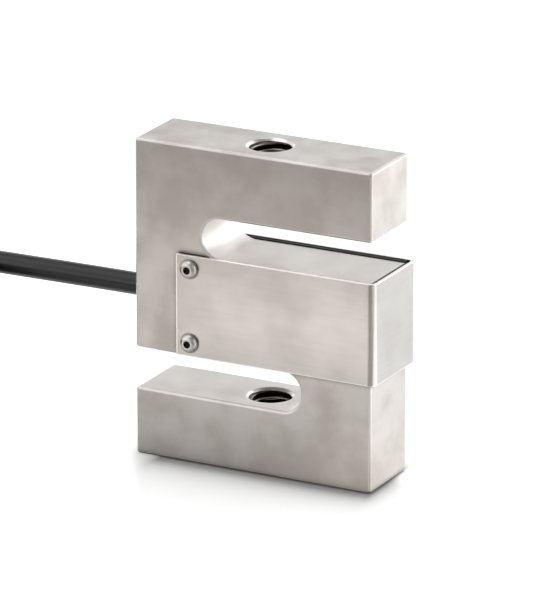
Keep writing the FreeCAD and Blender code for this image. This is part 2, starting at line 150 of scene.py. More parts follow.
def dress(tree, shader, **looks):
    sockets = {"colour": "Base Color", "metallic": "Metallic", "roughness": "Roughness", "normal": "Normal"}
    for name, look in looks.items():
        socket = shader.inputs[sockets[name]]
        if isinstance(look, bpy.types.NodeSocket):
            tree.links.new(look, socket)
        else:
            socket.default_value = look


def newTree(name, inputs):
    tree = bpy.data.node_groups.new(name, "GeometryNodeTree")
    for label, kind in inputs.items():
        tree.interface.new_socket(label, in_out="INPUT", socket_type="NodeSocket" + kind)
    tree.interface.new_socket("Mesh", in_out="OUTPUT", socket_type="NodeSocketGeometry")
    return tree, addNode(tree, "NodeGroupInput").outputs


def closeTree(tree, mesh, material):
    real = addNode(tree, "GeometryNodeRealizeInstances", {"Geometry": mesh}).outputs[0]
    coloured = addNode(tree, "GeometryNodeSetMaterial", {"Geometry": real, "Material": material}).outputs[0]
    addNode(tree, "NodeGroupOutput", {"Mesh": coloured})


def growPiece(name, tree, values):
    piece = bpy.data.objects.new(name, bpy.data.meshes.new(name))
    bpy.context.scene.collection.objects.link(piece)
    modifier = piece.modifiers.new(name, "NODES")
    modifier.node_group = tree
    for item in tree.interface.items_tree:
        if item.in_out == "INPUT":
            modifier[item.identifier] = values[item.name]
    evaluated = piece.evaluated_get(bpy.context.evaluated_depsgraph_get())
    mesh = bpy.data.meshes.new_from_object(evaluated)
    piece.modifiers.clear()
    piece.data = mesh
    return piece


# The camera stands where the photograph was taken from: low, to the right of the front
camera = {
    "azimuth": 27.55,
    "elevation": 18.43,
    "distance": 1.1283,
    "target": Vector((0, 0, 0.0324)),
    "lens": 358.4,
    "sensorWidth": 36,
    "clip": (0.05, 50),
}


def makeCamera():
    azimuth = math.radians(camera["azimuth"])
    elevation = math.radians(camera["elevation"])
    back = Vector((
        math.sin(azimuth) * math.cos(elevation),
        -math.cos(azimuth) * math.cos(elevation),
        math.sin(elevation),
    ))
    data = bpy.data.cameras.new("camera")
    data.lens = camera["lens"]
    data.sensor_width = camera["sensorWidth"]
    data.clip_start, data.clip_end = camera["clip"]
    holder = bpy.data.objects.new("camera", data)
    holder.location = camera["target"] + back * camera["distance"]
    holder.rotation_euler = (-back).to_track_quat("-Z", "Y").to_euler()
    bpy.context.scene.collection.objects.link(holder)
    bpy.context.scene.camera = holder


makeCamera()
print("camera set")


# The cable: a lead out of the left face, then a hank of two columns of turns
cable = {
    "diameter": 4.4 * mm,
    "length": 3.04,
    "lead": [
        (-16.2 * mm, 0, 31.3 * mm),
        (-35.5 * mm, 0, 31.3 * mm),
        (-57.0 * mm, 0.6 * mm, 30.9 * mm),
        (-74.0 * mm, 3.8 * mm, 29.6 * mm),
        (-86.0 * mm, 3.8 * mm, 29.6 * mm),
    ],
    "exit": (-26.0 * mm, 0, 31.3 * mm),
    "endInSleeve": 8.0 * mm,  # how far the jacket reaches into its end sleeve
    "foldSteps": 8,
    "roundness": 5,
    "smoothness": 6,
    "changeStart": 30.0,  # degrees: a fold's middle third ends here
    "changeSpan": 60.0,
}


def hankPoints():
    low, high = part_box("cable_hank")
    diameter = cable["diameter"]
    halfBreadth = (high.y - low.y) / 2
    middleY = (high.y + low.y) / 2
    leftX = low.x + halfBreadth
    rightX = high.x - halfBreadth
    layers = round((high.z - low.z) / diameter)
    outer = halfBreadth - diameter / 2
    inner = outer - diameter
    steps = cable["foldSteps"]
    step = math.radians(180 / steps)
    bulge = 1 / (0.75 + 0.25 * math.cos(step))  # an order 3 spline runs this much inside its points
    change = cable["changeStart"]
    span = cable["changeSpan"]
    points = []

    def share(angle, start):
        return min(max((angle - start) / span, 0), 1)

    def addFold(centreX, startAngle, radiusAt, layerAt):
        for index in range(steps + 1):
            angle = startAngle + 180 * index / steps
            radius = radiusAt(angle)
            if 0 < index < steps:
                radius *= bulge
            turn = math.radians(angle)
            points.append((
                centreX + radius * math.cos(turn),
                middleY + radius * math.sin(turn),
                low.z + (layerAt(angle) + 0.5) * diameter,
            ))

    for turn in range(2 * layers):
        isOuter = turn < layers
        radius = outer if isOuter else inner
        layer = layers - 1 - turn if isOuter else turn - layers
        addFold(leftX, 90, lambda angle: radius, lambda angle: layer)
        if turn == 2 * layers - 1:
            break
        if turn < layers - 1:
            addFold(rightX, -90, lambda angle: radius, lambda angle: layer - share(angle, change))
        elif turn == layers - 1:
            addFold(rightX, -90, lambda angle: outer - diameter * share(angle, -change), lambda angle: layer)
        else:
            addFold(rightX, -90, lambda angle: radius, lambda angle: layer + share(angle, -90))
    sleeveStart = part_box("cable_end_sleeve")[0].x
    points.append((sleeveStart + cable["endInSleeve"], middleY - inner, low.z + (layers - 0.5) * diameter))
    return points


def makeCable():
    points = cable["lead"] + hankPoints()
    curve = bpy.data.curves.new("signal_cable", "CURVE")
    curve.dimensions = "3D"
    curve.bevel_depth = 1  # times each point's own radius, which is also what widens the curve's box
    curve.bevel_resolution = cable["roundness"]
    curve.resolution_u = cable["smoothness"]
    curve.use_fill_caps = True
    spline = curve.splines.new("NURBS")
    spline.points.add(len(points) - 1)
    for point, place in zip(spline.points, points):
        point.co = (*place, 1)
        point.radius = cable["diameter"] / 2
    spline.order_u = 3
    spline.use_endpoint_u = True
    piece = bpy.data.objects.new("signal_cable", curve)
    bpy.context.scene.collection.objects.link(piece)
    return piece


signalCable = makeCable()
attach(signalCable, "root")
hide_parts("cable_lead", "cable_hank")
cordPieces = [nodes[name] for name in nodes if name.startswith(("end_core", "hank_tie"))]
cordPieces += [nodes["cable_end_sleeve"], nodes["shield_drain"], nodes["core_tips"]]
print("cable wound")


# Satin nickel plate on milled steel: a warm pale grey that blurs what it mirrors, clouded and
# lightly smeared, smoother inside the turned load holes; painted light on the slots' walls, a painted
# highlight on its rounded edges and countersinks, and painted shade in its corners, gaps and bores
blockFinish = {
    "colour": "#d0ccc8",
    "cloud": "#bfb9b3",
    "roughness": 0.4,
    "cloudSize": 9.0,       # mm
    "cloudDetail": 5.0,
    "clouded": (0.35, 0.68),  # where in the noise the cloud sets in and is full
    "smearSize": 1.6,       # mm
    "smearDetail": 4.0,
    "smearStretch": (3, 3, 1),
    "smeared": (0.5, 0.8),
    "smearShare": 0.25,
    "grainSize": 0.3,       # mm, coarser than the real blasting grain so that it shows
    "grainDepth": 0.003,    # mm
    "edgeRadius": 0.4,      # mm, how far the chamfers' edges are rounded off
    # Painted highlight for the rounded edges and the countersinks
    "edgeHighlight": "#e8e5e1",
    "roundedEdge": (0.995, 0.95),  # how far the rounded normal agrees with the flat one
    "rubbedRoughness": 0.12,  # added
    # Painted shade for the block's corners and gaps
    "creviceShadeColour": "#544d46",
    "creviceShadeReach": 1.4,       # mm, how far the painted shade reaches out of a corner or gap
    "turnedRadius": 4.62,   # mm, the countersinks' outer edge
    "turnedRoughness": 0.27,
    "boreRadius": 4.1,      # mm
    # Painted shade for the threaded bores' walls
    "boreShade": "#2e2a26",
    "armFaces": (13.35, 49.45),  # mm: both threaded holes lie below the first and above the second
    "slotLight": "#dcd8d4",     # the slots' walls, lightened as painted light
    "slotLightShare": 0.6,
    # the slots' round ends, lightened further as painted light
    "slotEndLight": "#eeebe8",
    "slotEnds": ((-6.8, 45.4, -1), (6.3, 17.4, 1)),  # mm: each round end's middle, and where it points
    "slotEndFade": 2.0,     # mm
    "slotRadius": 4.3,      # mm, with the chamfer along it
    "slotRoughness": 0.5,
}


# How far a point lies inside the slots, and how far round their closed ends
def slotShares(tree, x, z):
    walls, ends = [], []
    for middle, level, side in blockFinish["slotEnds"]:
        past = calculate(tree, "MULTIPLY", calculate(tree, "SUBTRACT", x, middle * mm), side)
        past = calculate(tree, "MAXIMUM", past, 0)
        away = length(tree, past, calculate(tree, "SUBTRACT", z, level * mm))
        inside = calculate(tree, "LESS_THAN", away, blockFinish["slotRadius"] * mm)
        walls.append(inside)
        rounded = ramp(tree, past, 0.0, blockFinish["slotEndFade"] * mm)
        ends.append(calculate(tree, "MULTIPLY", inside, rounded))
    return calculate(tree, "MAXIMUM", *walls), calculate(tree, "MAXIMUM", *ends)


def nickelPlate():
    material, tree, shader = newMaterial("satin_nickel_plate_milled")
    cloud = noise(tree, blockFinish["cloudSize"], blockFinish["cloudDetail"])
    smear = noise(tree, blockFinish["smearSize"], blockFinish["smearDetail"], blockFinish["smearStretch"])
    smeared = ramp(tree, smear, *blockFinish["smeared"], 0.0, blockFinish["smearShare"])
    stained = calculate(tree, "ADD", ramp(tree, cloud, *blockFinish["clouded"]), smeared)
    edge = addNode(tree, "ShaderNodeBevel", {"Radius": blockFinish["edgeRadius"] * mm}, samples=6).outputs[0]
    flat = addNode(tree, "ShaderNodeNewGeometry").outputs["True Normal"]
    facing = addNode(tree, "ShaderNodeVectorMath", {0: edge, 1: flat}, operation="DOT_PRODUCT")
    roundedEdge = ramp(tree, facing.outputs["Value"], *blockFinish["roundedEdge"])
    x, y, z = coordinates(tree)
    radius = length(tree, x, y)
    low, high = [face * mm for face in blockFinish["armFaces"]]
    inArm = calculate(
        tree, "MAXIMUM", calculate(tree, "LESS_THAN", z, low), calculate(tree, "GREATER_THAN", z, high))
    turned = calculate(tree, "LESS_THAN", radius, blockFinish["turnedRadius"] * mm)
    turned = calculate(tree, "MULTIPLY", turned, inArm)
    bore = calculate(tree, "LESS_THAN", radius, blockFinish["boreRadius"] * mm)
    bore = calculate(tree, "MULTIPLY", bore, inArm)
    colour = blend(tree, stained, linear(blockFinish["colour"]), linear(blockFinish["cloud"]))
    inSlot, atEnd = slotShares(tree, x, z)
    # Painted light: the slots' walls and round ends are lightened
    slotLit = calculate(tree, "MULTIPLY", inSlot, blockFinish["slotLightShare"])
    colour = blend(tree, slotLit, colour, linear(blockFinish["slotLight"]))
    colour = blend(tree, atEnd, colour, linear(blockFinish["slotEndLight"]))
    # Painted highlight: lighter colour on the rounded edges and in the turned countersinks
    paintedHighlight = calculate(tree, "MAXIMUM", roundedEdge, turned)
    colour = blend(tree, paintedHighlight, colour, linear(blockFinish["edgeHighlight"]))
    # Painted shade in corners and narrow gaps, kept out of the countersinks
    creviceShaded = calculate(tree, "SUBTRACT", creviceShade(tree, blockFinish["creviceShadeReach"]), turned)
    colour = blend(tree, calculate(tree, "MAXIMUM", creviceShaded, 0.0), colour, linear(blockFinish["creviceShadeColour"]))
    # Painted shade down the walls of the threaded bores
    colour = blend(tree, bore, colour, linear(blockFinish["boreShade"]))
    rough = uneven(tree, cloud, blockFinish["roughness"])
    rubbedRough = calculate(tree, "MULTIPLY", roundedEdge, blockFinish["rubbedRoughness"])
    rough = calculate(tree, "ADD", rough, rubbedRough)
    rough = between(tree, atEnd, rough, blockFinish["slotRoughness"])
    rough = between(tree, turned, rough, blockFinish["turnedRoughness"])
    grain = noise(tree, blockFinish["grainSize"])
    dress(tree, shader, colour=colour, metallic=1, roughness=rough,
          normal=bump(tree, grain, blockFinish["grainDepth"], edge))
    return material


setMaterial(nodes["s_beam_body"], nickelPlate())
print("block finished")


# M8 x 1.25 threads in both load holes: the ridges that the tap leaves
thread = {
    "pitch": 1.25 * mm,
    "wallRadius": 4.03 * mm,  # a little into the bore's wall
    "crestRadius": 3.38 * mm,
    "rootWidth": 1.12 * mm,
    "crestWidth": 0.34 * mm,
    "runOut": 0.2,            # turns over which each end of a ridge fades
    "tipScale": 0.05,         # what is left of it there
    "endRoom": 0.05 * mm,     # from the ends of the bore's straight wall
    "stepsPerTurn": 48,
    "crest": "#948d85",
    "crestEnds": (0.1 * mm, 0.25 * mm),  # how far behind the crest the painted shade on the flank sets in
    "flank": "#5b554e",
    "deepShade": "#26221f",
    "deepShadePatch": 1.5,          # mm
    "deepShadeSpots": (0.4, 0.7),      # where in the noise the deeper painted shade sets in and is full
    "roughness": 0.25,
}


# Plated tap cut: crests with a dull shine, over flanks darkened by painted shade, deeper in patches
def tappedSteel():
    material, tree, shader = newMaterial("nickel_plate_on_tapped_steel")
    x, y, z = coordinates(tree)
    # Painted shade on the thread's flanks, deeper in noise patches; the crests keep the plain colour
    flank = ramp(tree, length(tree, x, y), *[thread["crestRadius"] + end for end in thread["crestEnds"]])
    film = ramp(tree, noise(tree, thread["deepShadePatch"]), *thread["deepShadeSpots"])
    shadedFlank = blend(tree, film, linear(thread["flank"]), linear(thread["deepShade"]))
    colour = blend(tree, flank, linear(thread["crest"]), shadedFlank)
    dress(tree, shader, colour=colour, metallic=1, roughness=thread["roughness"])
    return material


def threadTree():
    tree, given = newTree("thread_ridge", {
        "Turns": "Float", "Start Height": "Float", "Rise": "Float", "Wall Radius": "Float",
        "Ridge Height": "Float", "Root Width": "Float", "Crest Width": "Float", "Run Out": "Float",
        "Material": "Material",
    })
    spiral = addNode(tree, "GeometryNodeCurveSpiral", {
        "Resolution": thread["stepsPerTurn"], "Rotations": given["Turns"],
        "Start Radius": given["Wall Radius"], "End Radius": given["Wall Radius"], "Height": given["Rise"],
    }).outputs[0]
    upright = addNode(tree, "GeometryNodeSetCurveNormal", {"Curve": spiral}, mode="Z_UP").outputs[0]
    along = addNode(tree, "GeometryNodeSplineParameter").outputs["Factor"]
    fromEnd = calculate(tree, "MINIMUM", along, calculate(tree, "SUBTRACT", 1.0, along))
    turnsFromEnd = calculate(tree, "MULTIPLY", fromEnd, given["Turns"])
    fade = addNode(tree, "ShaderNodeMapRange", {
        "Value": turnsFromEnd, 1: 0.0, 2: given["Run Out"], 3: thread["tipScale"], 4: 1.0,
    }).outputs[0]
    profile = addNode(tree, "GeometryNodeCurvePrimitiveQuadrilateral", {
        "Bottom Width": given["Root Width"], "Top Width": given["Crest Width"],
        "Height": given["Ridge Height"], "Offset": 0.0,
    }, mode="TRAPEZOID").outputs[0]
    # The profile's own height is turned to point from the wall to the axis
    half = calculate(tree, "MULTIPLY", given["Ridge Height"], 0.5)
    onWall = addNode(tree, "GeometryNodeTransform", {
        "Geometry": profile, "Rotation": (0, 0, math.radians(-90)),
        "Translation": addNode(tree, "ShaderNodeCombineXYZ", {0: half}).outputs[0],
    }).outputs[0]
    ridge = addNode(tree, "GeometryNodeCurveToMesh", {
        "Curve": upright, "Profile Curve": onWall, "Scale": fade, "Fill Caps": True,
    }).outputs[0]
    lift = addNode(tree, "ShaderNodeCombineXYZ", {2: given["Start Height"]}).outputs[0]
    raised = addNode(tree, "GeometryNodeTransform", {"Geometry": ridge, "Translation": lift}).outputs[0]
    closeTree(tree, raised, given["Material"])
    return tree


def makeThreads():
    tree = threadTree()
    material = tappedSteel()
    for mount in frame["record"]["mounts"]:
        if mount["kind"] != "threaded_hole":
            continue
        depth = mount["dims"]["length_mm"] * mm
        mouth = mount["pos_m"][2]
        start = min(mouth, mouth - mount["axis"][2] * depth) + thread["endRoom"]
        rise = depth - 2 * thread["endRoom"]
        ridge = growPiece(mount["name"] + "_ridge", tree, {
            "Turns": rise / thread["pitch"], "Start Height": start, "Rise": rise,
            "Wall Radius": thread["wallRadius"], "Ridge Height": thread["wallRadius"] - thread["crestRadius"],
            "Root Width": thread["rootWidth"], "Crest Width": thread["crestWidth"],
            "Run Out": thread["runOut"], "Material": material,
        })
        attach(ridge, "root")
        radii = [point.co.xy.length / mm for point in ridge.data.vertices]
        print("thread ridge:", ridge.name, "radius", round(min(radii), 2), "to", round(max(radii), 2))


makeThreads()
print("threads cut")


# Cold-rolled stainless sheet: smoother than the block, with faint rolling lines along it, a painted
# highlight on its sheared edges and painted shade in its gaps
coverFinish = {
    "colour": "#cdcbc8",
    "line": "#bebbb8",
    "roughness": 0.24,
    "roughSpread": (-0.02, 0.03),
    "lineWidth": 0.5,     # mm
    "lineLength": 12.0,   # mm
    "lineDepth": 0.0006,  # mm
    "cloudSize": 11.0,    # mm
    "cloudDetail": 4.0,
    "markShare": 0.67,    # of the lines and the cloud together
    "edgeRadius": 0.12,   # mm
    # Painted highlight for the sheared edges
    "shearedHighlightColour": "#f3f0ed",
    "shearedEdgeHighlight": (-15.45, 21.85, 41.6),  # mm: the open edges' x, and the lower and upper edges' height
    # Painted shade for the cover's corners and gaps
    "creviceShadeColour": "#6b655f",
    "creviceShadeReach": 0.5,     # mm
}


def stainlessSheet():
    material, tree, shader = newMaterial("stainless_sheet_cold_rolled")
    drawn = coverFinish["lineLength"] / coverFinish["lineWidth"]
    lines = noise(tree, coverFinish["lineWidth"], stretch=(drawn, drawn, 1))
    cloud = noise(tree, coverFinish["cloudSize"], coverFinish["cloudDetail"])
    marked = calculate(tree, "ADD", lines, ramp(tree, cloud, *noiseSpots))
    marked = calculate(tree, "MULTIPLY", marked, coverFinish["markShare"])
    colour = blend(tree, marked, linear(coverFinish["colour"]), linear(coverFinish["line"]))
    x, y, z = coordinates(tree)
    # Painted highlight: lighter colour on the sheared edges
    left, low, high = [place * mm for place in coverFinish["shearedEdgeHighlight"]]
    shearedEdgeHighlight = calculate(
        tree, "MAXIMUM", calculate(tree, "LESS_THAN", z, low), calculate(tree, "GREATER_THAN", z, high))
    shearedEdgeHighlight = calculate(tree, "MAXIMUM", shearedEdgeHighlight, calculate(tree, "LESS_THAN", x, left))
    colour = blend(tree, shearedEdgeHighlight, colour, linear(coverFinish["shearedHighlightColour"]))
    # Painted shade in corners and narrow gaps
    colour = blend(tree, creviceShade(tree, coverFinish["creviceShadeReach"]), colour, linear(coverFinish["creviceShadeColour"]))
    rough = uneven(tree, cloud, coverFinish["roughness"], coverFinish["roughSpread"])
    edge = addNode(tree, "ShaderNodeBevel", {"Radius": coverFinish["edgeRadius"] * mm}, samples=4).outputs[0]
    dress(tree, shader, colour=colour, metallic=1, roughness=rough,
          normal=bump(tree, lines, coverFinish["lineDepth"], edge))
    return material


setMaterial(nodes["u_cover"], stainlessSheet())
print("cover finished")


# The cover's screws, turned from stainless bar: fine rings round each head, faint smudges, and
# a socket painted black as painted shade
screwFinish = {
    "places": (-12.8, 31.7, 7.35),  # mm: the heads' x, the height midway, and how far above and below it
    "colour": "#cfccc8",
    # Black for the socket's painted shade, and for the smudges
    "socketShadeAndSmudge": "#0b0a0a",
    "roughness": 0.32,
    "socketRoughness": 0.6,
    "ring": 0.16,         # mm from one turning ring to the next
    "ringDepth": 0.0015,  # mm
    "socket": 0.76,       # mm, to the hexagon's corners
    "socketShadeFade": 0.06,     # mm
    "smudge": 0.8,        # mm
    "smudged": (0.35, 0.75),
    "smudgeShare": 0.15,
}


def turnedStainless():
    material, tree, shader = newMaterial("stainless_bar_turned")
    x, y, z = coordinates(tree)
    middleX, middleZ, offset = [place * mm for place in screwFinish["places"]]
    aside = calculate(tree, "SUBTRACT", x, middleX)
    height = calculate(tree, "ABSOLUTE", calculate(tree, "SUBTRACT", z, middleZ))
    height = calculate(tree, "SUBTRACT", height, offset)
    radius = length(tree, aside, height)
    rings = stripes(tree, radius, screwFinish["ring"])
    socket = screwFinish["socket"]
    # Painted shade: the socket is coloured black out to its corners
    socketShade = ramp(tree, radius, socket * mm, (socket - screwFinish["socketShadeFade"]) * mm)
    smudge = noise(tree, screwFinish["smudge"])
    smudge = ramp(tree, smudge, *screwFinish["smudged"], 0.0, screwFinish["smudgeShare"])
    dark = calculate(tree, "MAXIMUM", socketShade, smudge)
    colour = blend(tree, dark, linear(screwFinish["colour"]), linear(screwFinish["socketShadeAndSmudge"]))
    outsideSocket = calculate(tree, "SUBTRACT", 1.0, socketShade)
    rough = ramp(tree, outsideSocket, 0.0, 1.0, screwFinish["socketRoughness"], screwFinish["roughness"])
    dress(tree, shader, colour=colour, metallic=outsideSocket, roughness=rough,
          normal=bump(tree, rings, screwFinish["ringDepth"]))
    return material


# Amber polyimide with an etched alloy grid of lines and two tinned tabs, inside the window
gaugeFinish = {
    "middle": 7.2,       # mm, the gauges' |x|
    "tab": (1.3, 0.46),  # mm, the tabs' |y| and half size
    "gridHalf": (2.2, 2.4),  # mm, along x and y
    "gridGap": 0.7,      # mm, the |x| from the gauge's middle where its grid starts
    "line": 0.3,         # mm from line to line
    "lineFrom": 0.1,     # how high the wave between them stands where a line starts
    "mottle": 0.9,       # mm
    "roughness": 0.32,
    "film": "#b8702c",
    "filmDark": "#8f4f1c",
    "alloy": "#b3aca3",
    "tin": "#c6c3bd",
}


def gaugeFilm():
    material, tree, shader = newMaterial("polyimide_film_etched_grid")
    x, y, z = coordinates(tree)
    along = calculate(tree, "ABSOLUTE", calculate(
        tree, "SUBTRACT", calculate(tree, "ABSOLUTE", x), gaugeFinish["middle"] * mm))
    across = calculate(tree, "ABSOLUTE", y)
    halfAlong, halfAcross = [half * mm for half in gaugeFinish["gridHalf"]]
    tabPlace, tabHalf = [part * mm for part in gaugeFinish["tab"]]
    grid = calculate(tree, "GREATER_THAN", stripes(tree, y, gaugeFinish["line"]), gaugeFinish["lineFrom"])
    for test, place, limit in (("LESS_THAN", across, halfAcross), ("LESS_THAN", along, halfAlong),
                               ("GREATER_THAN", along, gaugeFinish["gridGap"] * mm)):
        grid = calculate(tree, "MULTIPLY", grid, calculate(tree, test, place, limit))
    fromTab = calculate(tree, "ABSOLUTE", calculate(tree, "SUBTRACT", across, tabPlace))
    tab = calculate(tree, "LESS_THAN", calculate(tree, "MAXIMUM", along, fromTab), tabHalf)
    mottle = noise(tree, gaugeFinish["mottle"])
    film = blend(tree, mottle, linear(gaugeFinish["film"]), linear(gaugeFinish["filmDark"]))
    colour = blend(tree, grid, film, linear(gaugeFinish["alloy"]))
    colour = blend(tree, tab, colour, linear(gaugeFinish["tin"]))
    dress(tree, shader, colour=colour, metallic=calculate(tree, "MAXIMUM", tab, grid),
          roughness=gaugeFinish["roughness"])
    return material


# Glass-weave board under green solder mask, with tinned pads standing on it
boardFinish = {
    "mask": "#1f5a30",
    "maskDark": "#174726",
    "edge": "#8f8a5c",
    "tin": "#c9c6c0",
    "heights": (25.92, 26.72),  # mm, between which the sawn edge shows
    "weave": 0.5,               # mm
    "weaveDepth": 0.01,         # mm
    "roughness": 0.36,
}


def glassBoard():
    material, tree, shader = newMaterial("glass_epoxy_solder_mask")
    x, y, z = coordinates(tree)
    weave = calculate(tree, "MULTIPLY", *[stripes(tree, side, boardFinish["weave"]) for side in (x, y)])
    low, high = [height * mm for height in boardFinish["heights"]]
    pad = calculate(tree, "GREATER_THAN", z, high)
    normal = addNode(tree, "ShaderNodeNewGeometry").outputs["True Normal"]
    upward = addNode(tree, "ShaderNodeSeparateXYZ", {0: normal}).outputs[2]
    sawn = calculate(tree, "LESS_THAN", calculate(tree, "ABSOLUTE", upward), 0.5)
    woven = ramp(tree, weave, -1.0, 1.0)
    colour = blend(tree, woven, linear(boardFinish["mask"]), linear(boardFinish["maskDark"]))
    colour = blend(tree, sawn, colour, linear(boardFinish["edge"]))
    colour = blend(tree, pad, colour, linear(boardFinish["tin"]))
    dress(tree, shader, colour=colour, metallic=pad, roughness=boardFinish["roughness"],
          normal=bump(tree, weave, boardFinish["weaveDepth"]))
    return material


# Lacquered barrels with painted bands and tinned feet
resistorFinish = {
    "middle": 2.3,   # mm, the barrels' |y|
    "bands": {-0.62: "#5a2f1a", -0.26: "#141312", 0.1: "#8e1f1a", 0.6: "#b08a3c"},  # mm from the middle
    "bandWidth": 0.2,
    "lacquer": "#7fa3bd",
    "lacquerDark": "#6d92ad",
    "mottle": 0.5,   # mm
    "roughness": 0.22,
    "footTop": 26.85,  # mm
    "tin": "#c6c3bd",
}


def lacqueredBarrel():
    material, tree, shader = newMaterial("resistor_lacquer_banded")
    x, y, z = coordinates(tree)
    along = calculate(tree, "SUBTRACT", calculate(tree, "ABSOLUTE", y), resistorFinish["middle"] * mm)
    lacquers = [linear(resistorFinish[name]) for name in ("lacquer", "lacquerDark")]
    colour = blend(tree, noise(tree, resistorFinish["mottle"]), *lacquers)
    for place, paint in resistorFinish["bands"].items():
        away = calculate(tree, "ABSOLUTE", calculate(tree, "SUBTRACT", along, place * mm))
        band = calculate(tree, "LESS_THAN", away, resistorFinish["bandWidth"] / 2 * mm)
        colour = blend(tree, band, colour, linear(paint))
    foot = calculate(tree, "LESS_THAN", z, resistorFinish["footTop"] * mm)
    colour = blend(tree, foot, colour, linear(resistorFinish["tin"]))
    dress(tree, shader, colour=colour, metallic=foot, roughness=resistorFinish["roughness"])
    return material


# Tinned strands twisted together: a diagonal lay of fine ridges, with painted shade in the grooves
strandFinish = {
    "colour": "#c2c0bb",
    # Painted shade for the grooves between strands
    "grooveShade": "#5c5954",
    "lay": 0.24,    # mm from strand to strand
    "depth": 0.03,  # mm
    "grooveShading": (-0.4, -1.0),  # between which heights of the wave the painted shade in the groove sets in and is full
    "roughness": 0.3,
}


def tinnedStrands():
    material, tree, shader = newMaterial("tinned_copper_strands")
    x, y, z = coordinates(tree)
    slant = calculate(tree, "ADD", x, calculate(tree, "ADD", y, z))
    wave = stripes(tree, slant, strandFinish["lay"])
    # Painted shade in the grooves between the strands
    grooveShade = ramp(tree, wave, *strandFinish["grooveShading"])
    colour = blend(tree, grooveShade, linear(strandFinish["colour"]), linear(strandFinish["grooveShade"]))
    dress(tree, shader, colour=colour, metallic=1, roughness=strandFinish["roughness"],
          normal=bump(tree, wave, strandFinish["depth"]))
    return material


# Sizes are in mm: spots of the second colour, and grain of a given depth, both stretched
plainFinish = {
    # Calendered silicone: dull and nearly black, with a soft bloom
    "gasket": {"name": "black_silicone_sheet", "colours": ("#131313", "#1f1e1d"), "roughness": 0.62,
               "spots": 3.0, "grain": 0.25, "depth": 0.01},
    # Poured silicone: milky, smooth and slightly uneven
    "potting": {"name": "silicone_poured", "colours": ("#dedcd5", "#cfccc2"), "roughness": 0.34,
                "spots": 4.0, "grain": 2.5, "depth": 0.06},
    # Enamel over copper: a reddish gloss
    "gauge_wires": {"name": "copper_wire_enamelled", "colours": ("#a8512a", "#7d3316"), "roughness": 0.24,
                    "metallic": 0.7, "spots": 0.8, "grain": 0.3, "depth": 0.004},
    # Moulded rubber: matt, with a fine skin
    "cable_bush": {"name": "rubber_moulded", "colours": ("#171717", "#202020"), "roughness": 0.58,
                   "spots": 1.5, "grain": 0.2, "depth": 0.012},
    # Turned and crimped brass: a yellow gloss with darker tarnish
    "cable_clamp": {"name": "brass_turned_crimped", "colours": ("#cfae66", "#a98844"), "roughness": 0.3,
                    "metallic": 1, "spots": 1.0, "grain": 0.15, "depth": 0.004, "stretch": (0.3, 3, 3)},
    # Natural nylon: creamy, a little glossy, slightly rippled
    "hank_tie": {"name": "nylon_moulded_natural", "colours": ("#e2dfd4", "#d3cfc0"), "roughness": 0.36,
                 "spots": 3.0, "grain": 0.5, "depth": 0.01},
    # Shrunk sleeve: dull, with shallow wrinkles round it
    "sleeve": {"name": "polyolefin_heat_shrunk", "colours": ("#171717", "#222222"), "roughness": 0.52,
               "spots": 2.0, "grain": 0.8, "depth": 0.03, "stretch": (0.6, 3, 3)},
    # Extruded cores: clean gloss with faint lines along them
    "core_red": {"name": "pvc_extruded_red", "colours": ("#b01f1b", "#8d1512"), "roughness": 0.32},
    "core_black": {"name": "pvc_extruded_black", "colours": ("#161616", "#202020"), "roughness": 0.32},
    "core_green": {"name": "pvc_extruded_green", "colours": ("#1d7f40", "#156430"), "roughness": 0.32},
    "core_white": {"name": "pvc_extruded_white", "colours": ("#e8e6e0", "#d5d2c9"), "roughness": 0.32},
    # Extruded vinyl jacket: black with a slight sheen and a very fine grain
    "signal_cable": {"name": "black_vinyl_extruded", "colours": ("#0e0e0e", "#171717"), "roughness": 0.36,
                     "spots": 6.0, "grain": 0.3, "depth": 0.006},
}


def plainMaterial(look):
    material, tree, shader = newMaterial(look["name"])
    stretch = look.get("stretch", (1, 1, 1))
    spots = noise(tree, look.get("spots", 1.2), 3.0, stretch)
    first, second = [linear(colour) for colour in look["colours"]]
    colour = blend(tree, ramp(tree, spots, *noiseSpots), first, second)
    rough = uneven(tree, spots, look["roughness"])
    grain = noise(tree, look.get("grain", 0.25), 2.0, stretch)
    dress(tree, shader, colour=colour, metallic=look.get("metallic", 0), roughness=rough,
          normal=bump(tree, grain, look.get("depth", 0.004)))
    return material


finishes = {part: plainMaterial(look) for part, look in plainFinish.items()}
strands = tinnedStrands()
finishes |= {
    "cover_screw": turnedStainless(),
    "strain_gauge": gaugeFilm(),
    "terminal_board": glassBoard(),
    "resistor": lacqueredBarrel(),
    "shield_drain": strands,
    "core_tips": strands,
}
setMaterial(signalCable, finishes.pop("signal_cable"))
for part, material in finishes.items():
    for node in nodes.values():
        if part in node.name:
            setMaterial(node, material)
print("other pieces finished:", len(finishes), "materials")


# Studio: a pale floor and a white surround with soft lamps. What gloss shows of it is dim
# towards the camera's side, as the dark half of a real studio is.
studio = {
    "surround": 0.55,  # what the surround gives to matt surfaces
    # What gloss shows of it: where along the direction each tone sets in, and the tones
    "rear": ((-0.45, -0.05), (0.9, 1.4)),      # along x
    "ceiling": ((0.55, 0.8), 0.2),             # along z, as the next two
    "frontWall": ((0.0, 0.15), (0.4, 1.7)),
    "frontHigh": ((0.45, 0.6), 0.1),
    "darkSide": ((-0.25, 0.1), 0.42),          # along x, round the camera
    "front": (-0.1, -0.45),                    # along y
    "edgeGlow": ((-0.42, -0.27, 0.87), (0.86, 0.96), 1.5),  # where, how near, tone: for upper edges
    "lamps": {
        "overhead": {"place": (-0.1, 0.2, 1.0), "size": (0.7, 0.7), "radiance": 1.2},
        "right": {"place": (0.9, 0.5, 0.3), "size": (1.3, 0.6), "radiance": 1.6},
        "rearLeft": {"place": (-0.5, 1.0, 0.16), "size": (1.4, 0.26), "radiance": 0.8},
    },
}


